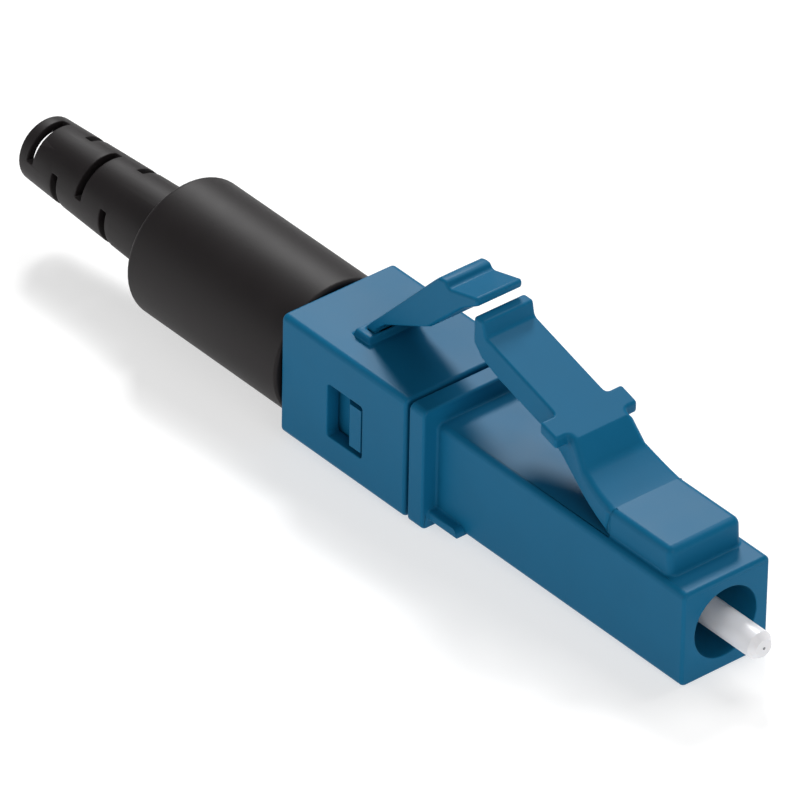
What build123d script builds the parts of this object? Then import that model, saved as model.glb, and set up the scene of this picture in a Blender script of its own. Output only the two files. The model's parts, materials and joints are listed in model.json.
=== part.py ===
from build123d import *
import math
import os

# Field-installable fibre connector: a plug with a spring latch, a rear clip
# with a trigger, and a strain relief boot. Millimetres.
# The ferrule lies along X and points to +X. The latch is on the +Z side.
# The origin is the centre of the plug's front face, so most places on X
# are negative. Lengths and setbacks are counted back from the front.

# Plug housing
plug_width = 4.52
plug_length = 15.1
plug_edge_radius = 0.3
collar_length = 0.9
collar_width = 6.0
collar_rise = 3.11
collar_drop = 2.71
collar_edge_radius = 0.3
rail_width = 5.4
rail_height = 0.44
rail_length = 1.75
rail_end_radius = 0.25
ferrule_bore_radius = 1.62
ferrule_bore_depth = 6.2
web_thickness = 0.8
web_hole_radius = 1.25
spring_bore_radius = 1.8

# Latch foot and latch lever
latch_width = 3.76
foot_setback = 1.25
foot_draft = 0.1
foot_top_radius = 0.35
latch_pivot_setback = 4.9
latch_pivot_height = 0.64
latch_knuckle_radius = 0.62
latch_root_top_angle = 95.0
latch_root_bottom_angle = 250.0
latch_seat_relief_angle = 75.0
latch_sweep_run = 1.1
latch_sweep_rise = 0.92
latch_step_setback = 2.1
latch_step_height = 2.06
latch_step_run = 0.65
latch_step_rise = 0.9
latch_throat_thickness = 1.1
latch_arm_thickness = 1.3
latch_elbow_run = 1.95
latch_chin_setback = 0.85
latch_lip_rise = 0.7
latch_lip_run = 0.15
latch_lip_length = 0.6
latch_lip_depth = 1.25
latch_heel_depth = 1.8
latch_heel_inset = 0.5
latch_lip_radius = 0.15
latch_throat_width = 3.4
latch_arm_width = 2.66
latch_tip_gap = 0.4
latch_tip_overlap = 0.05
ear_width = 4.3
ear_setback = 3.15
ear_length = 1.0
ear_thickness = 0.55

# Rear clip and trigger lever
clip_gap = 0.24
clip_length = 7.87
clip_edge_radius = 0.3
clip_end_chamfer = 0.1
cavity_width = 4.7
cavity_height = 4.4
cavity_radius = 0.7
window_setback = 2.71
window_length = 2.2
window_height = 2.55
window_radius = 0.15
trigger_foot_width = 3.3
trigger_foot_length = 1.1
trigger_foot_height = 0.34
trigger_foot_slope_run = 0.2
trigger_width = 2.4
trigger_side_gap = 0.03
trigger_pivot_setback = 4.36
trigger_pivot_height = 0.32
trigger_knuckle_radius = 0.26
trigger_slope = 47.0
trigger_root_under_angle = 25.0
trigger_root_run = 0.8
trigger_root_rise = 0.67
trigger_crest_run = 4.55
trigger_crest_rise = 4.77
trigger_crest_length = 0.55
trigger_knee_run = 3.0
trigger_knee_rise = 1.77
trigger_belly_length = 0.65
trigger_belly_rise = 0.35
trigger_pad_step = 0.15
trigger_pad_drop = 0.25
trigger_pad_run = 1.95
trigger_pad_rise = 0.23
trigger_pad_thickness = 0.38
trigger_pad_bevel_run = 0.94
trigger_pad_bevel_rise = 0.58
trigger_pad_radius = 0.15

# Boot
boot_gap = 0.1
boot_radius = 3.22
boot_length = 9.78
boot_rim_chamfer = 0.2
boot_end_wall = 0.8
boot_inner_radius = 2.75
tail_length = 9.3
tail_root_radius = 1.92
tail_end_radius = 1.5
tail_end_chamfer = 0.15
tail_bore_radius = 1.1
slot_count = 4
slot_width = 0.4
slot_pitch = 1.7
slot_end_margin = 0.65
slot_span = 100.0
slot_turn = 30.0

# Ferrule, fibre stub and the metal barrel that holds the ferrule
ferrule_radius = 0.625
ferrule_length = 6.4
ferrule_reach = 2.3
ferrule_grip_length = 1.6
ferrule_grip_taper = 0.02
ferrule_tip_radius = 0.4
ferrule_tip_length = 0.3
ferrule_dome_radius = 7.0
fibre_radius = 0.0625
fibre_gap = 0.004
glue_gap = 0.006
barrel_radius = 1.1
barrel_edge = 0.12
barrel_bore_radius = 0.45
barrel_flange_radius = 1.7
barrel_flange_length = 0.95
flange_chamfer = 0.15
spigot_radius = 0.8
spigot_length = 1.4
flange_seat_gap = 0.05

# Splice, its holder and the cam that closes it
neck_radius = 1.08
neck_gap = 0.05
neck_bore_radius = 0.45
holder_radius = 1.25
holder_front_wall = 0.6
holder_rear_wall = 0.7
splice_length = 6.8
splice_tail = 0.16
splice_end_gap = 0.03
splice_radius = 0.9
splice_side_gap = 0.02
splice_opening = 0.2
keel_width = 0.5
keel_gap = 0.03
keel_inset = 0.3
cam_length = 5.0
cam_radius = 1.76
cam_offset = 0.12
cam_running_gap = 0.03
cam_keel_gap = 0.04
cam_flat_depth = 0.12
cam_flat_length = 0.9
cam_front_gap = 0.15
lead_tube_radius = 0.65
lead_tube_length = 3.5
lead_tube_bore = 0.15
lead_tube_mouth = 0.5
lead_tube_funnel = 1.0

# Return spring
spring_wire_radius = 0.17
spring_coil_radius = 1.53
spring_turns = 5
spring_turn_steps = 12
spring_wire_sides = 8
spring_end_gap = 0.01

# Rear body inside the clip and the boot
body_gap = 0.04
nose_length = 2.8
nose_gap = 0.03
nose_bore_radius = 1.4
snap_rib_height = 0.1
snap_rib_length = 0.5
snap_rib_setback = 1.2
body_clearance = 0.05
cam_room_radius = 1.9
cam_room_front_wall = 0.35
tab_setback = 2.81
tab_length = 0.7
tab_ramp = 0.7
tab_drop = 0.58
tab_height = 2.05
tab_sink = 0.03
socket_length = 6.2
socket_gap = 0.09
socket_bore_radius = 1.7
socket_end_wall = 0.5
socket_rib_height = 0.05
socket_rib_length = 0.5
socket_rib_setback = 2.4
crimp_tube_radius = 1.35
crimp_tube_bore = 0.65
crimp_tube_length = 2.6

# Buffer collet and crimp sleeve
collet_gap = 0.04
collet_length = 3.8
collet_bore = 0.46
collet_slit = 0.25
collet_slit_length = 2.6
collet_slit_count = 2
collet_nose = 0.35
sleeve_gap = 0.04
sleeve_wall = 0.35
sleeve_length = 2.4

# Moulding details
seat_gap = 0.01
fine_edge = 0.1

# Stations along X
collar_front_x = -plug_length
collar_rear_x = collar_front_x - collar_length
clip_front_x = collar_rear_x - clip_gap
clip_rear_x = clip_front_x - clip_length
boot_front_x = clip_rear_x - boot_gap
boot_rear_x = boot_front_x - boot_length
tail_end_x = boot_rear_x - tail_length
web_front_x = -ferrule_bore_depth
web_rear_x = web_front_x - web_thickness
ferrule_rear_x = ferrule_reach - ferrule_length
barrel_front_x = ferrule_rear_x + ferrule_grip_length
flange_front_x = web_rear_x - flange_seat_gap
flange_rear_x = flange_front_x - barrel_flange_length
spigot_rear_x = flange_rear_x - spigot_length
body_front_x = collar_rear_x - body_gap
nose_front_x = body_front_x + nose_length
body_rear_x = clip_rear_x
socket_rear_x = body_rear_x - socket_length
crimp_rear_x = socket_rear_x - crimp_tube_length
cam_room_front_x = body_front_x - cam_room_front_wall
cam_front_x = cam_room_front_x - cam_front_gap
cam_rear_x = cam_front_x - cam_length
keel_front_x = cam_front_x - keel_inset
keel_rear_x = cam_rear_x + keel_inset
splice_rear_x = keel_rear_x - splice_tail
splice_front_x = splice_rear_x + splice_length
splice_middle_x = (splice_front_x + splice_rear_x) / 2
neck_front_x = flange_rear_x - neck_gap
neck_rear_x = splice_front_x + holder_front_wall
holder_rear_x = splice_rear_x - holder_rear_wall

# Heights and radii that follow
plug_half = plug_width / 2
collar_height = collar_rise + collar_drop
collar_mid_z = (collar_rise - collar_drop) / 2
foot_top_z = plug_half + latch_pivot_height + latch_knuckle_radius
body_width = cavity_width - 2 * body_clearance
body_height = cavity_height - 2 * body_clearance
body_corner_radius = cavity_radius - body_clearance
nose_radius = spring_bore_radius - nose_gap
snap_rib_radius = nose_radius + snap_rib_height
socket_radius = boot_inner_radius - socket_gap
cam_bore_radius = holder_radius + cam_running_gap + cam_offset
collet_radius = socket_bore_radius - collet_gap


def tube(radius, bore_radius, front_x, rear_x):
    """Add a tube about the X axis from front_x back to rear_x."""
    with BuildSketch(Plane.YZ.offset(front_x)) as section:
        Circle(radius)
        if bore_radius:
            Circle(bore_radius, mode=Mode.SUBTRACT)
    extrude(section.sketch, amount=rear_x - front_x)


def bore(radius, front_x, rear_x):
    """Cut a round bore about the X axis from front_x back to rear_x."""
    with BuildSketch(Plane.YZ.offset(front_x)) as section:
        Circle(radius)
    extrude(section.sketch, amount=rear_x - front_x, mode=Mode.SUBTRACT)


def on_circle(centre, radius, angle):
    """Point on a circle, with the angle in degrees from the first axis."""
    turn = math.radians(angle)
    return (centre[0] + radius * math.cos(turn), centre[1] + radius * math.sin(turn))


def front_edges(part, station):
    """Edges that lie in the plane X = station."""
    return part.edges().filter_by_position(Axis.X, station - seat_gap, station + seat_gap)


# Plug housing: square tube with a collar, side rails and the latch's foot
latch_pivot = (-latch_pivot_setback, plug_half + latch_pivot_height)
latch_seat_radius = latch_knuckle_radius + seat_gap
foot_rear_x = on_circle(latch_pivot, latch_seat_radius, latch_seat_relief_angle)[0]

with BuildPart() as front_housing:
    with BuildSketch(Plane.YZ):
        RectangleRounded(plug_width, plug_width, plug_edge_radius)
    extrude(amount=collar_rear_x)
    chamfer(front_edges(front_housing, 0), fine_edge)
    with BuildSketch(Plane.YZ.offset(collar_front_x)):
        with Locations((0, collar_mid_z)):
            RectangleRounded(collar_width, collar_height, collar_edge_radius)
    extrude(amount=-collar_length)
    with BuildSketch(Plane.XZ) as rail_outline:
        with Locations((collar_front_x, -plug_half)):
            Rectangle(rail_length, rail_height, align=(Align.MIN, Align.MIN))
        rail_corner = rail_outline.vertices().group_by(Axis.X)[-1].sort_by(Axis.Y)[-1]
        fillet(rail_corner, radius=rail_end_radius)
    extrude(amount=rail_width / 2, both=True)
    with BuildSketch(Plane.XZ) as foot_outline:
        with BuildLine():
            Polyline(
                (-foot_setback, plug_half - fine_edge),
                (-foot_setback - foot_draft, foot_top_z),
                (foot_rear_x, foot_top_z),
                (foot_rear_x, plug_half - fine_edge),
                close=True,
            )
        make_face()
        top_front = foot_outline.vertices().group_by(Axis.Y)[-1].sort_by(Axis.X)[-1]
        fillet(top_front, radius=foot_top_radius)
        with Locations(latch_pivot):
            Circle(latch_seat_radius, mode=Mode.SUBTRACT)
    extrude(amount=latch_width / 2, both=True)
    bore(ferrule_bore_radius, 0, web_front_x)
    bore(web_hole_radius, web_front_x, web_rear_x)
    bore(spring_bore_radius, web_rear_x, collar_rear_x)
    groove_front_x = nose_front_x - snap_rib_setback + fine_edge
    groove_rear_x = groove_front_x - snap_rib_length - 2 * fine_edge
    bore(snap_rib_radius + nose_gap, groove_front_x, groove_rear_x)
front_housing.part.label = "front_housing"

# Rear clip: a square sleeve with a window in each side and the trigger's foot
trigger_pivot = (clip_front_x - trigger_pivot_setback, collar_rise + trigger_pivot_height)
trigger_foot_front_x = trigger_pivot[0] + trigger_foot_length / 2 - fine_edge
trigger_foot_rear_x = trigger_foot_front_x - trigger_foot_length
window_front_x = clip_front_x - window_setback

with BuildPart() as trigger_clip:
    with BuildSketch(Plane.YZ.offset(clip_front_x)):
        with Locations((0, collar_mid_z)):
            RectangleRounded(collar_width, collar_height, clip_edge_radius)
    extrude(amount=-clip_length)
    chamfer(front_edges(trigger_clip, clip_front_x), clip_end_chamfer)
    chamfer(front_edges(trigger_clip, clip_rear_x), clip_end_chamfer)
    with BuildSketch(Plane.XZ):
        with BuildLine():
            Polyline(
                (trigger_foot_rear_x, collar_rise - fine_edge),
                (trigger_foot_rear_x + trigger_foot_slope_run, collar_rise + trigger_foot_height),
                (trigger_foot_front_x, collar_rise + trigger_foot_height),
                (trigger_foot_front_x, collar_rise - fine_edge),
                close=True,
            )
        make_face()
    extrude(amount=trigger_foot_width / 2, both=True)
    with BuildSketch(Plane.XZ):
        with Locations(trigger_pivot):
            Circle(trigger_knuckle_radius + seat_gap)
    extrude(amount=trigger_width / 2 + trigger_side_gap, both=True, mode=Mode.SUBTRACT)
    with BuildSketch(Plane.YZ.offset(clip_front_x)):
        RectangleRounded(cavity_width, cavity_height, cavity_radius)
    extrude(amount=-clip_length, mode=Mode.SUBTRACT)
    with BuildSketch(Plane.XZ) as window_outline:
        with Locations((window_front_x, 0)):
            Rectangle(window_length, window_height, align=(Align.MAX, Align.CENTER))
        fillet(window_outline.vertices(), radius=window_radius)
    extrude(amount=collar_width, both=True, mode=Mode.SUBTRACT)
trigger_clip.part.label = "trigger_clip"

# Trigger lever: a thin root, a deep belly and a pad that reaches over the latch
trigger_root_top = on_circle(trigger_pivot, trigger_knuckle_radius, 90 + trigger_slope)
trigger_root_under = on_circle(trigger_pivot, trigger_knuckle_radius, trigger_root_under_angle)
crest = (trigger_pivot[0] + trigger_crest_run, trigger_pivot[1] + trigger_crest_rise)
shoulder_run = crest[0] - trigger_crest_length - trigger_root_top[0]
shoulder = (
    trigger_root_top[0] + shoulder_run,
    trigger_root_top[1] + shoulder_run * math.tan(math.radians(trigger_slope)),
)
pad_tip = (crest[0] + trigger_pad_run, crest[1] + trigger_pad_rise)
pad_chin = (pad_tip[0], pad_tip[1] - trigger_pad_thickness)
knee = (trigger_pivot[0] + trigger_knee_run, trigger_pivot[1] + trigger_knee_rise)

with BuildPart() as trigger_lever:
    with BuildSketch(Plane.XZ) as trigger_outline:
        with BuildLine():
            Line(trigger_root_top, shoulder)
            Spline(
                shoulder,
                crest,
                tangents=((1, math.tan(math.radians(trigger_slope))), (1, 0)),
            )
            Polyline(
                crest,
                (crest[0] + trigger_pad_step, crest[1] - trigger_pad_drop),
                pad_tip,
                pad_chin,
                (pad_chin[0] - trigger_pad_bevel_run, pad_chin[1] - trigger_pad_bevel_rise),
                (knee[0] + trigger_belly_length, knee[1] + trigger_belly_rise),
                knee,
                (trigger_pivot[0] + trigger_root_run, trigger_pivot[1] + trigger_root_rise),
                trigger_root_under,
                trigger_root_top,
            )
        make_face()
        pad_corners = trigger_outline.vertices().group_by(Axis.X)[-1]
        fillet(pad_corners, radius=trigger_pad_radius)
        with Locations(trigger_pivot):
            Circle(trigger_knuckle_radius)
    extrude(amount=trigger_width / 2, both=True)
trigger_lever.part.label = "trigger_lever"

# Latch lever: an outline from the round root to the lip under the trigger's pad,
# then its plan, then an ear on each side
step_foot = (latch_pivot[0] - latch_step_setback, plug_half + latch_step_height)
step_head = (step_foot[0] - latch_step_run, step_foot[1] + latch_step_rise)
lip_rear = (pad_tip[0] - latch_tip_overlap, pad_chin[1] - latch_tip_gap)
lip_front = (lip_rear[0] + latch_lip_length, lip_rear[1])
lip_foot = (lip_front[0] + latch_lip_run, lip_front[1] - latch_lip_rise)
latch_rise = (lip_foot[1] - step_head[1]) / (step_head[0] - lip_foot[0])
latch_root_top = on_circle(latch_pivot, latch_knuckle_radius, latch_root_top_angle)
latch_root_bottom = on_circle(latch_pivot, latch_knuckle_radius, latch_root_bottom_angle)
sweep_middle = (latch_pivot[0] - latch_sweep_run, latch_pivot[1] + latch_sweep_rise)
elbow_x = step_head[0] - latch_elbow_run
chin_x = lip_foot[0] + latch_chin_setback
ear_front_x = latch_pivot[0] - ear_setback
ear_rear_x = ear_front_x - ear_length


def arm_top(station):
    """Height of the latch arm's sloping top at a place on X."""
    return step_head[1] + (step_head[0] - station) * latch_rise


with BuildPart() as latch_lever:
    with BuildSketch(Plane.XZ) as latch_outline:
        with BuildLine():
            Spline(latch_root_top, sweep_middle, step_foot)
            Polyline(
                step_foot,
                step_head,
                lip_foot,
                lip_front,
                lip_rear,
                (lip_rear[0], lip_rear[1] - latch_lip_depth),
                (lip_rear[0] + latch_heel_inset, lip_rear[1] - latch_heel_depth),
                (chin_x, arm_top(chin_x) - latch_arm_thickness),
                (elbow_x, arm_top(elbow_x) - latch_arm_thickness),
                (step_foot[0], step_foot[1] - latch_throat_thickness),
                latch_root_bottom,
                latch_root_top,
            )
        make_face()
        lip_corners = latch_outline.vertices().group_by(Axis.Y)[-1]
        fillet(lip_corners, radius=latch_lip_radius)
        with Locations(latch_pivot):
            Circle(latch_knuckle_radius)
    extrude(amount=latch_width / 2, both=True)
    with BuildSketch(Plane.XY):
        with BuildLine():
            front_x = latch_pivot[0] + latch_knuckle_radius
            Polyline(
                (front_x, 0),
                (front_x, latch_width / 2),
                (latch_pivot[0], latch_width / 2),
            )
            Spline(
                (latch_pivot[0], latch_width / 2),
                (step_foot[0], latch_throat_width / 2),
                (elbow_x, latch_arm_width / 2),
                tangents=((-1, 0), (-1, 0)),
            )
            Polyline(
                (elbow_x, latch_arm_width / 2),
                (lip_rear[0], latch_arm_width / 2),
                (lip_rear[0], 0),
            )
            mirror(about=Plane.XZ)
        make_face()
    extrude(amount=lip_rear[1] + latch_lip_rise, mode=Mode.INTERSECT)
    with BuildSketch(Plane.XZ):
        with BuildLine():
            Polyline(
                (ear_front_x, arm_top(ear_front_x)),
                (ear_rear_x, arm_top(ear_rear_x)),
                (ear_rear_x, arm_top(ear_rear_x) - ear_thickness),
                (ear_front_x, arm_top(ear_front_x) - ear_thickness),
                close=True,
            )
        make_face()
    extrude(amount=ear_width / 2, both=True)
latch_lever.part.label = "latch_lever"

# Rear body: a nose that snaps into the plug, a square middle with two tabs, a
# socket for the collet and a tube for the crimp sleeve
with BuildPart() as rear_body:
    tube(nose_radius, 0, nose_front_x, body_front_x)
    rib_front_x = nose_front_x - snap_rib_setback
    tube(snap_rib_radius, 0, rib_front_x, rib_front_x - snap_rib_length)
    with BuildSketch(Plane.YZ.offset(body_front_x)):
        RectangleRounded(body_width, body_height, body_corner_radius)
    extrude(amount=body_rear_x - body_front_x)
    tab_front_x = clip_front_x - tab_setback
    tab_reach = collar_width / 2 - tab_sink
    with BuildSketch(Plane.XY):
        with BuildLine():
            Polyline(
                (tab_front_x, 0),
                (tab_front_x, tab_reach),
                (tab_front_x - tab_length, tab_reach),
                (tab_front_x - tab_length - tab_ramp, tab_reach - tab_drop),
                (tab_front_x - tab_length - tab_ramp, 0),
            )
            mirror(about=Plane.XZ)
        make_face()
    extrude(amount=tab_height / 2, both=True)
    tube(socket_radius, 0, body_rear_x, socket_rear_x)
    socket_rib_x = boot_front_x - socket_rib_setback
    tube(socket_radius + socket_rib_height, 0, socket_rib_x, socket_rib_x - socket_rib_length)
    tube(crimp_tube_radius, 0, socket_rear_x, crimp_rear_x)
    bore(nose_bore_radius, nose_front_x, cam_room_front_x)
    bore(cam_room_radius, cam_room_front_x, body_rear_x)
    bore(socket_bore_radius, body_rear_x, socket_rear_x + socket_end_wall)
    bore(crimp_tube_bore, socket_rear_x + socket_end_wall, crimp_rear_x)
rear_body.part.label = "rear_body"

# Boot: a wide sleeve over the socket and a tapered tail with staggered slots
with BuildPart() as boot:
    tube(boot_radius, 0, boot_front_x, boot_rear_x)
    chamfer(front_edges(boot, boot_front_x), fine_edge)
    chamfer(front_edges(boot, boot_rear_x), boot_rim_chamfer)
    with BuildSketch(Plane.XY):
        with BuildLine():
            Polyline(
                (boot_rear_x, 0),
                (boot_rear_x, tail_root_radius),
                (tail_end_x, tail_end_radius),
                (tail_end_x, 0),
                close=True,
            )
        make_face()
    revolve(axis=Axis.X)
    chamfer(front_edges(boot, tail_end_x), tail_end_chamfer)
    bore(boot_inner_radius, boot_front_x, boot_rear_x + boot_end_wall)
    bore(tail_bore_radius, boot_rear_x + boot_end_wall, tail_end_x)
    for place in range(slot_count):
        slot_x = tail_end_x + slot_end_margin + slot_pitch * place + slot_width
        lean = slot_turn + 90 * (1 - place % 2)
        with BuildSketch(Plane.YZ.offset(slot_x)):
            for side in (0, 180):
                with BuildLine():
                    arc = CenterArc((0, 0), boot_radius, lean + side - slot_span / 2, slot_span)
                    Polyline(arc @ 1, (0, 0), arc @ 0)
                make_face()
        extrude(amount=-slot_width, mode=Mode.SUBTRACT)
boot.part.label = "boot"

# Ferrule: a ground cylinder with a domed tip and a slightly tapered gripped end
grip_end_radius = ferrule_radius - ferrule_grip_taper
dome_height = ferrule_dome_radius - math.sqrt(ferrule_dome_radius**2 - ferrule_tip_radius**2)
dome_rim = (ferrule_reach - dome_height, ferrule_tip_radius)
dome_middle = (ferrule_reach, fibre_radius + fibre_gap)
with BuildPart() as ferrule:
    with BuildSketch(Plane.XY):
        with BuildLine():
            Polyline(
                dome_middle,
                (ferrule_rear_x, fibre_radius + fibre_gap),
                (ferrule_rear_x, grip_end_radius),
                (barrel_front_x, ferrule_radius),
                (ferrule_reach - ferrule_tip_length, ferrule_radius),
                dome_rim,
            )
            RadiusArc(dome_rim, dome_middle, ferrule_dome_radius)
        make_face()
    revolve(axis=Axis.X)
ferrule.part.label = "ferrule"

# Ferrule barrel: a metal tube with a hexagonal flange and a rear spigot
with BuildPart() as ferrule_barrel:
    tube(barrel_radius, 0, barrel_front_x, flange_front_x)
    chamfer(front_edges(ferrule_barrel, barrel_front_x), barrel_edge)
    with BuildSketch(Plane.YZ.offset(flange_front_x)):
        RegularPolygon(barrel_flange_radius, 6)
    extrude(amount=-barrel_flange_length)
    flange_edges = ferrule_barrel.faces().filter_by(Axis.X).group_by(Axis.X)[0].edges()
    chamfer(flange_edges, flange_chamfer)
    tube(spigot_radius, 0, flange_rear_x, spigot_rear_x)
    bore(barrel_bore_radius, barrel_front_x, spigot_rear_x)
    with BuildSketch(Plane.XY):
        with BuildLine():
            Polyline(
                (ferrule_rear_x, 0),
                (ferrule_rear_x, grip_end_radius + glue_gap),
                (barrel_front_x, ferrule_radius + glue_gap),
                (barrel_front_x, 0),
                close=True,
            )
        make_face()
    revolve(axis=Axis.X, mode=Mode.SUBTRACT)
ferrule_barrel.part.label = "ferrule_barrel"

# Fibre stub: it ends in the middle of the splice, where the cable's fibre meets it
with BuildPart() as fibre_stub:
    tube(fibre_radius, 0, ferrule_reach, splice_middle_x)
fibre_stub.part.label = "fibre_stub"

# Splice holder: a neck on the barrel's spigot and a chamber with a slot on top
with BuildPart() as splice_holder:
    tube(neck_radius, 0, neck_front_x, neck_rear_x)
    tube(holder_radius, 0, neck_rear_x, holder_rear_x)
    bore(spigot_radius + glue_gap, neck_front_x, spigot_rear_x)
    bore(neck_bore_radius, spigot_rear_x, splice_front_x)
    bore(splice_radius + splice_side_gap, splice_front_x, splice_rear_x)
    bore(lead_tube_radius + glue_gap, splice_rear_x, holder_rear_x)
    with BuildSketch(Plane.XY):
        with Locations((keel_front_x + keel_gap, 0)):
            Rectangle(
                keel_front_x - keel_rear_x + 2 * keel_gap,
                keel_width + 2 * keel_gap,
                align=(Align.MAX, Align.CENTER),
            )
    extrude(amount=holder_radius + cam_offset, mode=Mode.SUBTRACT)
splice_holder.part.label = "splice_holder"

# Splice base: the lower half, with a groove that the fibres lie in
groove_depth = fibre_radius * math.sqrt(2)
with BuildPart() as splice_base:
    with BuildSketch(Plane.YZ.offset(splice_front_x - splice_end_gap)):
        Circle(splice_radius)
        with Locations((0, splice_radius)):
            Rectangle(2 * splice_radius, 2 * splice_radius, mode=Mode.SUBTRACT)
        with BuildLine():
            Polyline((-groove_depth, 0), (0, -groove_depth), (groove_depth, 0), close=True)
        make_face(mode=Mode.SUBTRACT)
    extrude(amount=2 * splice_end_gap - splice_length)
splice_base.part.label = "splice_base"

# Splice keel: the upper half, with a key that stands out through the slot
with BuildPart() as splice_keel:
    with BuildSketch(Plane.YZ.offset(splice_front_x - splice_end_gap)):
        Circle(splice_radius)
        with Locations((0, splice_opening - splice_radius)):
            Rectangle(2 * splice_radius, 2 * splice_radius, mode=Mode.SUBTRACT)
    extrude(amount=2 * splice_end_gap - splice_length)
    with BuildSketch(Plane.YZ.offset(keel_front_x)):
        with Locations((0, cam_offset)):
            Circle(cam_bore_radius - cam_keel_gap)
        with Locations((0, splice_opening)):
            Rectangle(
                keel_width,
                2 * holder_radius,
                align=(Align.CENTER, Align.MIN),
                mode=Mode.INTERSECT,
            )
    extrude(amount=keel_rear_x - keel_front_x)
splice_keel.part.label = "splice_keel"

# Cam sleeve: an off-centre bore that lets the key down when the sleeve turns
with BuildPart() as cam_sleeve:
    with BuildSketch(Plane.YZ.offset(cam_front_x)):
        Circle(cam_radius)
        with Locations((0, cam_offset)):
            Circle(cam_bore_radius, mode=Mode.SUBTRACT)
    extrude(amount=-cam_length)
    with BuildSketch(Plane.YZ.offset(cam_rear_x)):
        for side in (-1, 1):
            with Locations((side * cam_radius, 0)):
                Rectangle(2 * cam_flat_depth, 2 * cam_radius)
    extrude(amount=cam_flat_length, mode=Mode.SUBTRACT)
cam_sleeve.part.label = "cam_sleeve"

# Return spring: wire wound about the X axis in short straight runs, from the nose
# to the flange
spring_rear_x = nose_front_x + spring_wire_radius + spring_end_gap
spring_front_x = flange_rear_x - spring_wire_radius - spring_end_gap
spring_length = spring_front_x - spring_rear_x
with BuildPart() as return_spring:
    with BuildLine() as coil:
        coil_points = []
        for step in range(spring_turns * spring_turn_steps + 1):
            turns = step / spring_turn_steps
            coil_side, coil_height = on_circle((0, 0), spring_coil_radius, 360 * turns)
            coil_x = spring_rear_x + spring_length * turns / spring_turns
            coil_points.append((coil_x, coil_side, coil_height))
        Polyline(*coil_points)
    with BuildSketch(Plane(origin=coil.line @ 0, z_dir=coil.line % 0)):
        RegularPolygon(spring_wire_radius, spring_wire_sides)
    sweep(transition=Transition.RIGHT)
return_spring.part.label = "return_spring"

# Lead-in tube: guides the cable's fibre through a funnel into the groove
lead_tube_front_x = holder_rear_x + holder_rear_wall - splice_end_gap
lead_tube_rear_x = lead_tube_front_x - lead_tube_length
with BuildPart() as lead_in_tube:
    tube(lead_tube_radius, lead_tube_bore, lead_tube_front_x, lead_tube_rear_x)
    with BuildSketch(Plane.XY):
        with BuildLine():
            Polyline(
                (lead_tube_rear_x, 0),
                (lead_tube_rear_x, lead_tube_mouth),
                (lead_tube_rear_x + lead_tube_funnel, lead_tube_bore),
                (lead_tube_rear_x + lead_tube_funnel, 0),
                close=True,
            )
        make_face()
    revolve(axis=Axis.X, mode=Mode.SUBTRACT)
lead_in_tube.part.label = "lead_in_tube"

# Buffer collet: a slit bush that grips the cable's buffer
collet_rear_x = socket_rear_x + socket_end_wall
collet_front_x = collet_rear_x + collet_length
with BuildPart() as buffer_collet:
    tube(collet_radius, collet_bore, collet_front_x, collet_rear_x)
    outer_front = front_edges(buffer_collet, collet_front_x).sort_by(SortBy.RADIUS)[-1]
    chamfer(outer_front, collet_nose)
    with BuildSketch(Plane.YZ.offset(collet_front_x)):
        with PolarLocations(0, collet_slit_count, angular_range=180):
            Rectangle(2 * collet_radius, collet_slit)
    extrude(amount=-collet_slit_length, mode=Mode.SUBTRACT)
buffer_collet.part.label = "buffer_collet"

# Crimp sleeve: a metal tube over the crimp tube
sleeve_bore_radius = crimp_tube_radius + sleeve_gap
sleeve_rear_x = socket_rear_x - sleeve_length
with BuildPart() as crimp_sleeve:
    tube(sleeve_bore_radius + sleeve_wall, sleeve_bore_radius, socket_rear_x, sleeve_rear_x)
crimp_sleeve.part.label = "crimp_sleeve"

# Write one STEP file for each piece
pieces = (
    front_housing,
    latch_lever,
    trigger_clip,
    trigger_lever,
    rear_body,
    boot,
    ferrule,
    ferrule_barrel,
    fibre_stub,
    splice_holder,
    splice_base,
    splice_keel,
    cam_sleeve,
    return_spring,
    lead_in_tube,
    buffer_collet,
    crimp_sleeve,
)
os.makedirs("parts", exist_ok=True)
for piece in pieces:
    export_step(piece.part, "parts/" + piece.part.label + ".step")
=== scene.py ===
# %% [markdown]
# # A field-installable fibre connector
# This notebook dresses a small optical plug: a blue square body with a spring latch and a trigger,
# a black strain relief boot and a white ceramic ferrule. The solids come from the CAD frame, in
# metres. Here they get their finish, their soft moulded edges, a floor and the photograph's camera.

# %% Load the frame
import json
import math

import bmesh
import bpy
from mathutils import Matrix, Vector


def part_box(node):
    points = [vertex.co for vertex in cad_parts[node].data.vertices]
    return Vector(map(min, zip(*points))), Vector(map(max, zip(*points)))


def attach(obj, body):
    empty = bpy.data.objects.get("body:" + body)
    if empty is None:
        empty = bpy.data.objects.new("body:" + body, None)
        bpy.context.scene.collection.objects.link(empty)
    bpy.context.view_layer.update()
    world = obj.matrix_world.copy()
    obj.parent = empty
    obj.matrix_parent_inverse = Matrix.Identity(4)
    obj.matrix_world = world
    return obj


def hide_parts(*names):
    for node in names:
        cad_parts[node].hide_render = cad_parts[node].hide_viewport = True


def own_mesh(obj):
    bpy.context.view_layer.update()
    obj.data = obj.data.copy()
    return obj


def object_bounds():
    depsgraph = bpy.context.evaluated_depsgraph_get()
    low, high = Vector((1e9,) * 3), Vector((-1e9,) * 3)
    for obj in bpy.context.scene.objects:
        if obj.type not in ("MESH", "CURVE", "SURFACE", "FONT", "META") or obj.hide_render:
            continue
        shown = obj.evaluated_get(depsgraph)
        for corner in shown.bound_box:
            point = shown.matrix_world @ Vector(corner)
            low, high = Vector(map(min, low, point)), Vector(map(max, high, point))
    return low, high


MM = 0.001

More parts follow.
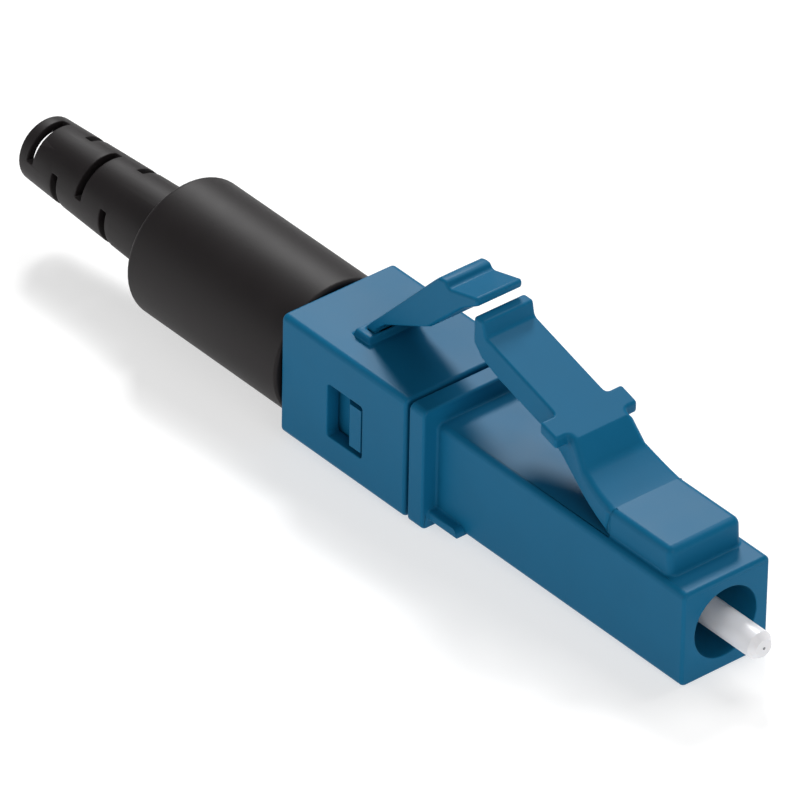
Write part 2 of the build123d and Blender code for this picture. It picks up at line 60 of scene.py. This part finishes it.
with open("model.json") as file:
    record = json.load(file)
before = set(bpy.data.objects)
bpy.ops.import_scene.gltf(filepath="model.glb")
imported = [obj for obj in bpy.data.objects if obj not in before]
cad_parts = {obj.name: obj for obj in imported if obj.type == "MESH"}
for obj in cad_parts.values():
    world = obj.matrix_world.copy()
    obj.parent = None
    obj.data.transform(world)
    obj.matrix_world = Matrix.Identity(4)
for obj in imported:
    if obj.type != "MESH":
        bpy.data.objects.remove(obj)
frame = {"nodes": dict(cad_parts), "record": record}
nodes = frame["nodes"]
cad_low, cad_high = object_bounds()
print("CAD box in millimetres:", [round(side / MM, 2) for side in cad_high - cad_low])

# %% [markdown]
# ## Camera
# The photograph is a product shot from above the plug's front left corner, through a long lens:
# parallel edges hardly converge. A long lens is a camera far away, so the camera stands about
# ten lengths of the plug away and looks along one fixed direction. The azimuth turns from -Y
# towards +X, the elevation lifts it, and the roll turns the picture by about a degree.

# %% Place the camera
CAMERA_AZIMUTH = math.radians(49.43)
CAMERA_ELEVATION = math.radians(34.90)
CAMERA_ROLL = math.radians(1.17)
CAMERA_PLACE = Vector((283.84, -260.24, 278.87)) * MM
LENS_MM = 540.0
SENSOR_MM = 36.0
CLIP_START = 10 * MM

back = Vector(
    (
        math.sin(CAMERA_AZIMUTH) * math.cos(CAMERA_ELEVATION),
        -math.cos(CAMERA_AZIMUTH) * math.cos(CAMERA_ELEVATION),
        math.sin(CAMERA_ELEVATION),
    )
)
level_right = Vector((0, 0, 1)).cross(back).normalized()
level_up = back.cross(level_right)
right = math.cos(CAMERA_ROLL) * level_right + math.sin(CAMERA_ROLL) * level_up
up = back.cross(right)
camera_turn = Matrix((right, up, back)).transposed().to_4x4()

camera_data = bpy.data.cameras.new("photo_camera")
camera_data.lens = LENS_MM
camera_data.sensor_width = SENSOR_MM
camera_data.clip_start = CLIP_START
camera = bpy.data.objects.new("photo_camera", camera_data)
bpy.context.scene.collection.objects.link(camera)
camera.matrix_world = Matrix.Translation(CAMERA_PLACE) @ camera_turn
bpy.context.scene.camera = camera
print("Camera stands", round(CAMERA_PLACE.length / MM), "mm from the plug's front face")

# %% [markdown]
# ## Shader maths as Python
# A material is a graph of nodes, and long graphs are hard to read as calls. Here a small class
# wraps an output socket, and its operators add the Math nodes, so that a mask can be written
# as an expression. One method makes any other node from its type, settings and inputs.

# %% Socket wrapper


class Signal:
    """An output socket of a material's graph, with arithmetic."""

    def __init__(self, graph, socket):
        self.graph = graph
        self.socket = socket

    def math(self, operation, other):
        settings = {"operation": operation}
        return self.graph.node("ShaderNodeMath", settings, {0: self, 1: other})

    def __add__(self, other):
        return self.math("ADD", other)

    def __mul__(self, other):
        return self.math("MULTIPLY", other)

    __radd__ = __add__
    __rmul__ = __mul__


print("A Signal adds and multiplies, with a number on either side")

# %% Graph of one material


class Graph:
    """The node graph of one material."""

    def __init__(self, name):
        self.material = bpy.data.materials.new(name)
        self.material.use_nodes = True
        self.tree = self.material.node_tree
        self.tree.nodes.clear()

    def node(self, kind, settings, inputs, output=0):
        """Add a node with its settings, fill or link its sockets, and give one output, if any."""
        made = self.tree.nodes.new(kind)
        for key, value in settings.items():
            setattr(made, key, value)
        for key, value in inputs.items():
            if isinstance(value, Signal):
                self.tree.links.new(value.socket, made.inputs[key])
            else:
                made.inputs[key].default_value = value
        return Signal(self, made.outputs[output]) if made.outputs else None

    def place(self, size):
        """Object coordinates, scaled so that one unit is size metres."""
        coordinates = self.node("ShaderNodeTexCoord", {}, {}, output="Object")
        inputs = {0: coordinates, "Scale": 1.0 / size}
        return self.node("ShaderNodeVectorMath", {"operation": "SCALE"}, inputs)

    def noise(self, size, detail=2.0):
        """Soft noise whose blobs are about size metres wide, from 0 to 1."""
        inputs = {"Vector": self.place(size), "Scale": 1.0, "Detail": detail}
        return self.node("ShaderNodeTexNoise", {}, inputs)

    def mixed(self, share, first, second):
        """One colour turning into another as share goes from 0 to 1."""
        inputs = {0: share, 6: first, 7: second}
        return self.node("ShaderNodeMix", {"data_type": "RGBA"}, inputs, output=2)

    def bump(self, height, distance, strength):
        """A normal roughened by a height, whose full range is distance metres."""
        inputs = {"Height": height, "Distance": distance, "Strength": strength}
        return self.node("ShaderNodeBump", {}, inputs)

    def surface(self, inputs):
        """Close the graph with one Principled surface."""
        shader = self.node("ShaderNodeBsdfPrincipled", {}, inputs)
        self.node("ShaderNodeOutputMaterial", {}, {"Surface": shader})
        print("Material", self.material.name, "has", len(self.tree.nodes), "nodes")
        return self.material


print("A Graph offers:", [key for key in vars(Graph) if not key.startswith("_")])

# %% Colours as they look


def srgb(red, green, blue):
    """A colour as it looks in a picture, turned into the linear numbers that a shader takes."""
    linear = []
    for value in (red, green, blue):
        share = value / 255
        linear.append(share / 12.92 if share <= 0.04045 else ((share + 0.055) / 1.055) ** 2.4)
    return (*linear, 1.0)


DEEP_BLUE = srgb(12, 92, 128)
LIGHT_BLUE = srgb(18, 98, 136)
print("The deeper blue in linear numbers:", [round(value, 3) for value in DEEP_BLUE[:3]])

# %% [markdown]
# ## Moulded plastic
# The blue parts are one satin plastic. The mould leaves a faint grain and slow waves. This could
# be one colour with a constant roughness, but then it looks like paint on glass. So the colour
# and the roughness drift a little in patches, and a very fine bump breaks up the highlights.

# %% Blue plastic
PATCH_SIZE = 2.5 * MM
SPECKLE_SIZE = 0.07 * MM
GRAIN_STRENGTH = 0.35


def moulded(name, low, high, roughness, drift, grain, gloss):
    """Moulded plastic: two near colours in slow patches, and a fine grain in the surface."""
    graph = Graph(name)
    patches = graph.noise(PATCH_SIZE, detail=3.0)
    speckle = graph.noise(SPECKLE_SIZE)
    return graph.surface(
        {
            "Base Color": graph.mixed(patches, low, high),
            "Roughness": patches * drift + (roughness - drift / 2),
            "Specular IOR Level": gloss,
            "Normal": graph.bump(speckle, grain, GRAIN_STRENGTH),
        }
    )


blue_plastic = moulded(
    "moulded_blue",
    DEEP_BLUE,
    LIGHT_BLUE,
    roughness=0.42,
    drift=0.08,
    grain=0.004 * MM,
    gloss=0.08,
)

# %% [markdown]
# ## Boot
# The boot is a black elastomer with a soft sheen. It is made by the same helper as the plastic,
# because it is moulded too. Its black is slightly warm, and its surface is rougher than the
# plastic's.

# %% Black elastomer
black_elastomer = moulded(
    "black_elastomer",
    srgb(22, 18, 19),
    srgb(30, 26, 27),
    roughness=0.55,
    drift=0.1,
    grain=0.006 * MM,
    gloss=0.22,
)

# %% [markdown]
# ## Ceramic
# The ferrule is ground white ceramic: bright, with a little light passing under its surface.
# A plain white would look like paper, so a short subsurface radius softens its shadow side.

# %% White ceramic
ceramic = Graph("white_ceramic")
white_ceramic = ceramic.surface(
    {
        "Base Color": srgb(225, 225, 228),
        "Roughness": ceramic.noise(0.4 * MM) * 0.08 + 0.32,
        "Subsurface Weight": 0.15,
        "Subsurface Radius": (0.4 * MM, 0.35 * MM, 0.3 * MM),
        "Subsurface Scale": 1.0,
    }
)

# %% [markdown]
# ## Metal
# The barrel and the crimp sleeve are nickel plated, and the spring is drawn wire. Both carry fine
# marks from being turned or drawn. One noise, stretched round the X axis, drives the roughness
# and the bump together, so that the marks show both in the shading and in the gloss.

# %% Plated brass and spring steel
ROUND_STRETCH = 0.3
MARK_DEPTH = 0.003 * MM
MARK_DRIFT = 0.15


def metal(name, colour, roughness, streak):
    """Metal with turning marks: noise stretched round the X axis."""
    graph = Graph(name)
    stretch = (1 / streak, ROUND_STRETCH, ROUND_STRETCH)
    inputs = {0: graph.place(MM), 1: stretch}
    along = graph.node("ShaderNodeVectorMath", {"operation": "MULTIPLY"}, inputs)
    marks = graph.node("ShaderNodeTexNoise", {}, {"Vector": along, "Scale": 1.0})
    return graph.surface(
        {
            "Base Color": colour,
            "Metallic": 1.0,
            "Roughness": marks * MARK_DRIFT + roughness,
            "Normal": graph.bump(marks, MARK_DEPTH, 0.3),
        }
    )


plated_brass = metal("plated_brass", srgb(212, 207, 194), roughness=0.23, streak=0.05)
spring_steel = metal("spring_steel", srgb(178, 178, 180), roughness=0.21, streak=0.08)

# %% [markdown]
# ## Glass
# The fibre stub is a thread of glass. A transmission weight below one keeps it visible, because
# a fully clear thread as thin as this would vanish.

# %% Fibre glass
glass = Graph("fibre_glass")
fibre_glass = glass.surface(
    {
        "Base Color": srgb(232, 240, 246),
        "Roughness": glass.noise(0.2 * MM) * 0.03 + 0.035,
        "Transmission Weight": 0.8,
        "IOR": 1.46,
    }
)

# %% [markdown]
# ## Inner plastics
# The splice's parts are hidden, but they show when the plug is taken apart, so they get their
# finishes too: a natural off-white plastic, and a clear one for the splice itself, with the faint
# flow lines that moulding leaves in clear parts.

# %% Natural plastic
natural_plastic = moulded(
    "natural_plastic",
    srgb(222, 216, 203),
    srgb(231, 226, 214),
    roughness=0.5,
    drift=0.1,
    grain=0.003 * MM,
    gloss=0.4,
)

# %% Clear plastic
clear = Graph("clear_plastic")
clear_flow = clear.noise(0.6 * MM, detail=3.0)
clear_plastic = clear.surface(
    {
        "Base Color": clear.mixed(clear_flow, srgb(221, 226, 230), srgb(229, 232, 234)),
        "Roughness": clear_flow * 0.06 + 0.09,
        "Transmission Weight": 0.7,
        "IOR": 1.52,
        "Normal": clear.bump(clear_flow, 0.004 * MM, 0.3),
    }
)

# %% [markdown]
# ## Which piece wears what
# Each CAD piece has a material slot in the record. The table below gives each slot its finish.

# %% Assign finishes
FINISHES = {
    "blue_plastic": blue_plastic,
    "black_elastomer": black_elastomer,
    "white_ceramic": white_ceramic,
    "plated_brass": plated_brass,
    "fibre_glass": fibre_glass,
    "natural_plastic": natural_plastic,
    "clear_plastic": clear_plastic,
    "spring_steel": spring_steel,
}
record = frame["record"]
slot_of = {part["node"]: part["material_slot"] for part in record["subparts"]}
bodies = record["behaviour"]["bodies"]
body_of = {node: body for body, members in bodies.items() for node in members}
for name, node in nodes.items():
    node.data.materials.clear()
    node.data.materials.append(FINISHES[slot_of[name]])
print("Finished", len(nodes), "CAD pieces in", len(FINISHES), "finishes")

# %% [markdown]
# ## Soft moulded edges
# The CAD pieces are exact but their edges are knife sharp, and in the photograph every edge is
# rounded: broadly on the latch's foot and root, where the moulding is thick, and finely
# elsewhere. So each visible piece is shown by a copy whose sharp edges are bevelled, and the
# solid itself stays as it is for the physics. The loose triangles of a solid are joined first,
# because a bevel needs to know which faces meet at an edge.

# %% Join the triangles of the pieces that show
DRESSED = ("front_housing", "latch_lever", "trigger_clip", "trigger_lever", "boot")
JOIN = 0.0005 * MM


def join(shape):
    """Merge the corners that lie in one place."""
    bmesh.ops.remove_doubles(shape, verts=shape.verts, dist=JOIN)


shapes = {}
for name in DRESSED:
    shapes[name] = bmesh.new()
    shapes[name].from_mesh(nodes[name].data)
    join(shapes[name])
    print("Joined", name, "at", len(shapes[name].verts), "corners")

# %% [markdown]
# ## Latch and foot as one moulding
# On the real plug the latch and its foot are one moulding, and the latch flexes at its root. In
# the solids its round root turns in a round seat, and the seat's mouth would show as a gap. So
# the housing's copy has its seat filled up to a flat plane through the root. The latch's copy
# is mirrored from one half first, so that both of its sides have the same corners.

# %% Close the seat in the housing
ROOT_X, ROOT_Z = -4.9, 2.9
ROOT_REACH = 0.7

moved = 0
for vert in shapes["front_housing"].verts:
    if math.hypot(vert.co.x / MM - ROOT_X, vert.co.z / MM - ROOT_Z) < ROOT_REACH:
        vert.co.x = ROOT_X * MM
        moved += 1
join(shapes["front_housing"])
print("Closed the latch's seat by moving", moved, "corners")

# %% Match the latch's sides


def cut(shape, place, normal, **options):
    """Cut every face of a shape along a plane, and keep both sides unless an option clears one."""
    everything = shape.verts[:] + shape.edges[:] + shape.faces[:]
    plane = {"plane_co": place, "plane_no": normal}
    bmesh.ops.bisect_plane(shape, geom=everything, dist=JOIN, **plane, **options)


latch = shapes["latch_lever"]
cut(latch, (0, 0, 0), (0, 1, 0), clear_outer=True)
half = latch.verts[:] + latch.edges[:] + latch.faces[:]
bmesh.ops.mirror(latch, geom=half, axis="Y", merge_dist=JOIN)
join(latch)
bmesh.ops.recalc_face_normals(latch, faces=latch.faces)
open_edges = sum(len(edge.link_faces) != 2 for edge in latch.edges)
print("Mirrored the latch's right half;", open_edges, "open edges")

# %% Merge flat regions into single faces
FLAT = math.radians(0.5)

for name, shape in shapes.items():
    bmesh.ops.dissolve_limit(shape, angle_limit=FLAT, verts=shape.verts, edges=shape.edges)
    print(name, "has", len(shape.faces), "faces once its flat regions are merged")

# %% [markdown]
# ## The latch's root and sweep
# The part of the latch in front of its root's plane goes into the foot, whose top edges are
# rounded, so it is drawn in behind that rounding. Behind the root the latch sweeps up. Its top
# there is a row of narrow bands, and edges that run slantwise across them would leave notches
# in a broad rounding, so they are cut straight first.

# %% Tuck the root into the foot
FOOT_TOP = 3.52
FOOT_ROUNDING = 0.32
TUCK = 0.03
SEAM_SLACK = 0.02

cut(latch, (ROOT_X * MM, 0, 0), (1, 0, 0))
tucked = 0
for vert in latch.verts:
    if vert.co.x / MM > ROOT_X + SEAM_SLACK:
        depth = min(max(FOOT_TOP - vert.co.z / MM, 0.0), FOOT_ROUNDING)
        drop = FOOT_ROUNDING - depth
        recess = FOOT_ROUNDING - math.sqrt(FOOT_ROUNDING**2 - drop**2)
        side = abs(vert.co.y) - (recess + TUCK) * MM
        vert.co.y = math.copysign(side, vert.co.y)
        tucked += 1
print("Tucked", tucked, "corners of the latch's root into the foot")

# %% Find the sweep's bands
SWEEP_END = -8.0
SWEEP_FLOOR, SWEEP_SLOPE = 3.2, 0.4
LATCH_SIDE = 1.4
TURNS_SHARPLY = 1.0


def on_sweep_rim(x, y, z):
    """Whether a place lies on the upper side edges of the latch between its root and its step."""
    is_high = z > SWEEP_FLOOR + SWEEP_SLOPE * (ROOT_X - x)
    return SWEEP_END < x < ROOT_X and abs(y) > LATCH_SIDE and is_high


def middle_of(edge):
    """The middle of an edge, in millimetres."""
    return (edge.verts[0].co + edge.verts[1].co) / (2 * MM)


stations = set()
for edge in latch.edges:
    if edge.calc_face_angle(0) > TURNS_SHARPLY and on_sweep_rim(*middle_of(edge)):
        stations.update(round(vert.co.x, 7) for vert in edge.verts)
print("The sweep's rim has", len(stations), "stations")

# %% Comb the sweep straight
TURNS_SOFTLY = 0.5
HAIR = 0.0001 * MM
SHORT = 0.001 * MM
UPWARDS = 0.3

for station in sorted(stations):
    cut(latch, (station, 0, 0), (1, 0, 0))
rear, front = min(stations) - HAIR, max(stations) + HAIR
slanted = []
for edge in latch.edges:
    first, second = sorted(vert.co.x for vert in edge.verts)
    inside = rear < first and second < front
    on_top = all(face.normal.z > UPWARDS for face in edge.link_faces)
    is_soft = edge.calc_face_angle(0) < TURNS_SOFTLY
    if inside and on_top and second - first > SHORT and is_soft:
        slanted.append(edge)
bmesh.ops.dissolve_edges(latch, edges=slanted, use_verts=True)
print("Combed the sweep into", len(stations) - 1, "bands")

# %% [markdown]
# ## How wide each edge is rounded
# One width for a whole piece would be simpler, but the photograph shows a broad rounding on the
# latch's foot and sweep and a fine one elsewhere. So each piece has a rule that takes the middle
# of an edge and gives the width of its rounding, all in millimetres. Nothing is rounded at the
# seam between latch and foot, so that the two read as one moulding. Where a solid already has a
# narrow chamfer, at its ends, in a bore or round a slot, the fine width is used, because a wide
# bevel on a narrow chamfer folds over itself.

# %% Widths on the housing
FINE = 0.05
HOUSING_EDGE = 0.12
HOUSING_ENDS = (-15.85, -0.15)
RAIL_CORNER = (-13.7, -13.3)
RAIL_TOP = -1.8
FOOT_BOTTOM = 2.5
BORE_REACH = 1.9


def housing_width(x, y, z):
    at_seam = abs(x - ROOT_X) < FINE
    at_rail_corner = z < RAIL_TOP and RAIL_CORNER[0] < x < RAIL_CORNER[1]
    if at_seam or at_rail_corner:
        return 0.0
    if z > FOOT_BOTTOM and x > ROOT_X:
        return FOOT_ROUNDING
    at_end = x < HOUSING_ENDS[0] or x > HOUSING_ENDS[1]
    return FINE if math.hypot(y, z) < BORE_REACH or at_end else HOUSING_EDGE


print("The foot's side edge is rounded by", housing_width(-2.0, 1.9, 3.5), "mm")

# %% Widths on the latch
LATCH_EDGE = 0.14
SWEEP_UNDERSIDE_EDGE = 0.08


def latch_width(x, y, z):
    if x > ROOT_X:
        return 0.0
    if on_sweep_rim(x, y, z):
        return FOOT_ROUNDING
    return SWEEP_UNDERSIDE_EDGE if x > SWEEP_END else LATCH_EDGE


print("The sweep's rim is rounded by", latch_width(-6.0, 1.8, 4.2), "mm")

# %% Widths on the clip and the trigger
CLIP_EDGE = 0.09
CLIP_ENDS = (-23.95, -16.4)
WINDOW_ENDS = (-22.0, -18.0)
WINDOW_REACH = 1.4
PAD_REAR = -17.0
PAD_EDGE = 0.14
ARM_EDGE = 0.07


def clip_width(x, y, z):
    at_end = x < CLIP_ENDS[0] or x > CLIP_ENDS[1]
    at_window = abs(z) < WINDOW_REACH and WINDOW_ENDS[0] < x < WINDOW_ENDS[1]
    return FINE if at_end or at_window else CLIP_EDGE


def trigger_width(x, y, z):
    return PAD_EDGE if x > PAD_REAR else ARM_EDGE


print("The trigger's pad is rounded by", trigger_width(-14.0, 0.0, 8.0), "mm")

# %% Widths on the boot
BOOT_EDGE = 0.1
BOOT_FRONT = -24.45
TAIL_FRONT = -34.5


def boot_width(x, y, z):
    return FINE if x > BOOT_FRONT or x < TAIL_FRONT else BOOT_EDGE


print("The boot's slots are rounded by", boot_width(-38.0, 0.0, 2.0), "mm")

# %% [markdown]
# ## Weights on the edges
# A bevel has one width, and a weight on each edge scales it. Edges that get no rounding but
# still turn sharply are marked as sharp, so that the smooth shading stops there.

# %% Weigh the edges
WIDEST = 0.4
CREASE = math.radians(30.0)
SHARP_FROM = dict.fromkeys(DRESSED, math.radians(40.0)) | {"boot": math.radians(35.0)}
ON_PLANE = 0.01
WIDTH_RULES = {
    "front_housing": housing_width,
    "latch_lever": latch_width,
    "trigger_clip": clip_width,
    "trigger_lever": trigger_width,
    "boot": boot_width,
}


def in_root_plane(places):
    """Whether all places, in metres, lie in the plane of the latch's root."""
    return all(abs(place.x / MM - ROOT_X) < ON_PLANE for place in places)


def weigh(name, shape):
    """Give each sharp edge its weight, and mark what stays sharp."""
    weights = shape.edges.layers.float.new("bevel_weight_edge")
    for edge in shape.edges:
        if len(edge.link_faces) == 2 and edge.calc_face_angle() > SHARP_FROM[name]:
            edge[weights] = WIDTH_RULES[name](*middle_of(edge)) / WIDEST
    for edge in shape.edges:
        at_root = name == "latch_lever" and in_root_plane(vert.co for vert in edge.verts)
        creased = edge.calc_face_angle(0) > CREASE and edge[weights] == 0.0
        edge.smooth = not (creased or at_root)
    for face in shape.faces:
        face.smooth = True
    return sum(edge[weights] > 0.0 for edge in shape.edges)


for name, shape in shapes.items():
    print(name, "has", weigh(name, shape), "edges to round")

# %% [markdown]
# ## Round the edges
# The Bevel modifier rounds the weighted edges in four steps. The shading normals are then
# weighted by face area, so that the flat sides stay flat. Both modifiers are turned into the
# mesh itself, which is shown in place of the hidden CAD piece, wears its slot's finish and rides on
# its body.
# Rounding never reaches past a piece's own box, and the filled seat lies inside the housing's,
# so no copy leaves the CAD box.

# %% Bevel the copies
ROUND_STEPS = 4


def settle(piece):
    """Turn what an object's modifiers make into its own mesh."""
    graph = bpy.context.evaluated_depsgraph_get()
    mesh = bpy.data.meshes.new_from_object(piece.evaluated_get(graph), depsgraph=graph)
    piece.modifiers.clear()
    piece.data = mesh


pieces = {}
for name, shape in shapes.items():
    soft_mesh = bpy.data.meshes.new(name + "_soft")
    shape.to_mesh(soft_mesh)
    shape.free()
    soft_mesh.materials.append(FINISHES[slot_of[name]])
    pieces[name] = bpy.data.objects.new(name + "_soft", soft_mesh)
    bpy.context.scene.collection.objects.link(pieces[name])
    bevel = pieces[name].modifiers.new("edges", "BEVEL")
    bevel.width = WIDEST * MM
    bevel.segments = ROUND_STEPS
    bevel.limit_method = "WEIGHT"
    bevel.use_clamp_overlap = False
    bevel.miter_outer = "MITER_ARC"
    settle(pieces[name])
    print(name, "has", len(pieces[name].data.polygons), "faces with its edges rounded")

# %% Sharpen the seam at the latch's root
for name in ("front_housing", "latch_lever"):
    mesh = pieces[name].data
    at_seam = [
        edge for edge in mesh.edges if in_root_plane(mesh.vertices[end].co for end in edge.vertices)
    ]
    for edge in at_seam:
        edge.use_edge_sharp = True
    print("Sharpened", len(at_seam), "edges of", name, "so that the seam doesn't darken its rim")

# %% Weigh the normals and hand the copies over
for name, piece in pieces.items():
    normals = piece.modifiers.new("normals", "WEIGHTED_NORMAL")
    normals.keep_sharp = True
    settle(piece)
    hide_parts(name)
    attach(piece, body_of[name])
    print(piece.name, "stands for", name, "and rides on", body_of[name])

# %% [markdown]
# ## Return spring
# Behind the ferrule's barrel sits a compression spring, hidden until the plug is taken apart. In
# the solids its wire is a chain of short straight runs. A spring follows a rule, so Geometry
# Nodes make the real curve: a spiral whose height is remapped, so that the first and the last
# turn lie closed as on a real spring, swept by a round wire.

# %% Measure the spring
WIRE_RADIUS = 0.165 * MM
spring_low, spring_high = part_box("return_spring")
SPRING_SIZES = {
    "Coil Radius": 1.53 * MM,
    "Wire Radius": WIRE_RADIUS,
    "Turns": 5.0,
    "Length": spring_high.x - spring_low.x - 2 * WIRE_RADIUS,
    "Rear End": spring_low.x + WIRE_RADIUS,
}
print("The spring's wire line is", round(SPRING_SIZES["Length"] / MM, 2), "mm long")

# %% Spring tree
WIRE_SIDES = 14
STEPS_PER_TURN = 32
CLOSED_ENDS = ((0.17, 0.06), (0.83, 0.94))


class Tree:
    """A Geometry Nodes tree with named number inputs and one geometry output."""

    def __init__(self, name, labels):
        self.tree = bpy.data.node_groups.new(name, "GeometryNodeTree")
        sockets = self.tree.interface
        for label in labels:
            sockets.new_socket(label, in_out="INPUT", socket_type="NodeSocketFloat")
        sockets.new_socket("Geometry", in_out="OUTPUT", socket_type="NodeSocketGeometry")
        self.sizes = self.add("NodeGroupInput", {}, {}).outputs

    def add(self, kind, settings, inputs):
        """Add a node with its settings, and fill or link its sockets."""
        made = self.tree.nodes.new(kind)
        for key, value in settings.items():
            setattr(made, key, value)
        for key, value in inputs.items():
            if isinstance(value, bpy.types.NodeSocket):
                self.tree.links.new(value, made.inputs[key])
            else:
                made.inputs[key].default_value = value
        return made


winder = Tree("coil_spring", SPRING_SIZES)
print("The tree takes", list(SPRING_SIZES))

# %% The coil's line
spiral = winder.add(
    "GeometryNodeCurveSpiral",
    {},
    {
        "Resolution": STEPS_PER_TURN,
        "Rotations": winder.sizes["Turns"],
        "Start Radius": winder.sizes["Coil Radius"],
        "End Radius": winder.sizes["Coil Radius"],
        "Height": 0.0,
    },
)
along = winder.add("GeometryNodeSplineParameter", {}, {})
climb = winder.add("ShaderNodeFloatCurve", {}, {"Value": along.outputs["Factor"]})
for turn_share, height_share in CLOSED_ENDS:
    climb.mapping.curves[0].points.new(turn_share, height_share)
climb.mapping.update()
heights = {0: climb.outputs[0], 1: winder.sizes["Length"]}
height = winder.add("ShaderNodeMath", {"operation": "MULTIPLY"}, heights)
lift = winder.add("ShaderNodeCombineXYZ", {}, {"Z": height.outputs[0]})
lifting = {"Geometry": spiral.outputs[0], "Offset": lift.outputs[0]}
coil = winder.add("GeometryNodeSetPosition", {}, lifting)
print("The coil's line takes", len(winder.tree.nodes), "nodes")

# %% The wire on the line
place = winder.add("ShaderNodeCombineXYZ", {}, {"X": winder.sizes["Rear End"]})
laying = {
    "Geometry": coil.outputs[0],
    "Translation": place.outputs[0],
    "Rotation": (math.radians(90), 0.0, math.radians(90)),
}
laid = winder.add("GeometryNodeTransform", {}, laying)
rim = {"Resolution": WIRE_SIDES, "Radius": winder.sizes["Wire Radius"]}
wire = winder.add("GeometryNodeCurvePrimitiveCircle", {}, rim)
sweeping = {"Curve": laid.outputs[0], "Profile Curve": wire.outputs[0], "Fill Caps": True}
swept = winder.add("GeometryNodeCurveToMesh", {}, sweeping)
real = winder.add("GeometryNodeRealizeInstances", {}, {"Geometry": swept.outputs[0]})
painting = {"Geometry": real.outputs[0], "Material": spring_steel}
painted = winder.add("GeometryNodeSetMaterial", {}, painting)
winder.add("NodeGroupOutput", {}, {"Geometry": painted.outputs[0]})
print("The whole spring takes", len(winder.tree.nodes), "nodes")

# %% Wind the spring
spring = bpy.data.objects.new("return_spring_wire", bpy.data.meshes.new("return_spring_wire"))
bpy.context.scene.collection.objects.link(spring)
winding = spring.modifiers.new("winding", "NODES")
winding.node_group = winder.tree
for item in winder.tree.interface.items_tree:
    if item.in_out == "INPUT":
        winding[item.identifier] = SPRING_SIZES[item.name]
settle(spring)
for polygon in spring.data.polygons:
    polygon.use_smooth = True
print("The spring has", len(spring.data.polygons), "faces")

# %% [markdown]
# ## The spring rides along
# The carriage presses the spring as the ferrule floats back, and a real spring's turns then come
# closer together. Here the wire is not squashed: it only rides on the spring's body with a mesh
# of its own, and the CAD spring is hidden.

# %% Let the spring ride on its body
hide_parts("return_spring")
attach(spring, body_of["return_spring"])
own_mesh(spring)

# %% [markdown]
# ## Floor
# The plug rests on the lower front edge of its body and on the boot's lower front edge, so the
# floor is a plane through those two lines, tilted by a little over two degrees. The plane is
# wide enough to fill the picture, and glows a little, so that it reads as a white table.

# %% Lay the floor
REST_FRONT = Vector((-0.1, 0.0, -2.26)) * MM
REST_REAR = Vector((-24.31, 0.0, -3.22)) * MM
FLOOR_REACH = 2.0

floor_slope = math.atan2(REST_FRONT.z - REST_REAR.z, REST_FRONT.x - REST_REAR.x)
floor_turn = Matrix.Rotation(-floor_slope, 4, "Y")
corners = [(-1, -1), (1, -1), (1, 1), (-1, 1)]
floor_places = [(x * FLOOR_REACH, y * FLOOR_REACH, 0) for x, y in corners]
floor_mesh = bpy.data.meshes.new("floor")
floor_mesh.from_pydata(floor_places, [], [(0, 1, 2, 3)])
floor = bpy.data.objects.new("floor", floor_mesh)
floor.matrix_world = Matrix.Translation(REST_FRONT) @ floor_turn
bpy.context.scene.collection.objects.link(floor)
print("Floor slope in degrees:", round(math.degrees(floor_slope), 2))

# %% Paint the floor
FLOOR_GLOW = 0.6

floor_paint = Graph("floor_paper")
floor_mesh.materials.append(
    floor_paint.surface(
        {
            "Base Color": (0.5, 0.5, 0.5, 1.0),
            "Roughness": 0.8,
            "Specular IOR Level": 0.1,
            "Emission Color": (1.0, 1.0, 1.0, 1.0),
            "Emission Strength": FLOOR_GLOW,
        }
    )
)
print("The floor glows at", FLOOR_GLOW)

# %% [markdown]
# ## Light
# The light is a pale studio. A small soft box behind and above throws the shadow to the front
# left, a larger one from the top gives the upper faces their sheen, and two weak ones fill the
# near sides. A dim white surround lifts what is left.

# %% Lights
LIGHT_DISTANCE = 0.5


def soft_box(name, direction, size, watts):
    """A square area light that looks at the plug's middle from a direction."""
    target = (cad_low + cad_high) / 2
    light_data = bpy.data.lights.new(name, "AREA")
    light_data.shape = "SQUARE"
    light_data.size = size
    light_data.energy = watts
    light = bpy.data.objects.new(name, light_data)
    towards = Vector(direction).normalized()
    light.location = target + towards * LIGHT_DISTANCE
    light.rotation_mode = "QUATERNION"
    light.rotation_quaternion = towards.to_track_quat("Z", "Y")
    bpy.context.scene.collection.objects.link(light)
    print("Light", name, "gives", watts, "watts")


soft_box("key", (-0.66, 0.52, 0.76), size=0.1, watts=1.7)
soft_box("top", (-0.08, 0.53, 0.84), size=0.28, watts=1.25)
soft_box("left fill", (-0.35, -1.0, 0.2), size=0.3, watts=0.8)
soft_box("front fill", (1.0, -0.25, 0.55), size=0.3, watts=0.85)

# %% Surround
SURROUND_STRENGTH = 0.14

world = bpy.data.worlds.new("studio")
world.use_nodes = True
surround = world.node_tree.nodes["Background"].inputs
surround["Color"].default_value = (1.0, 1.0, 1.0, 1.0)
surround["Strength"].default_value = SURROUND_STRENGTH
bpy.context.scene.world = world
bpy.context.scene.view_settings.view_transform = "Standard"
print("The surround's strength is", SURROUND_STRENGTH)
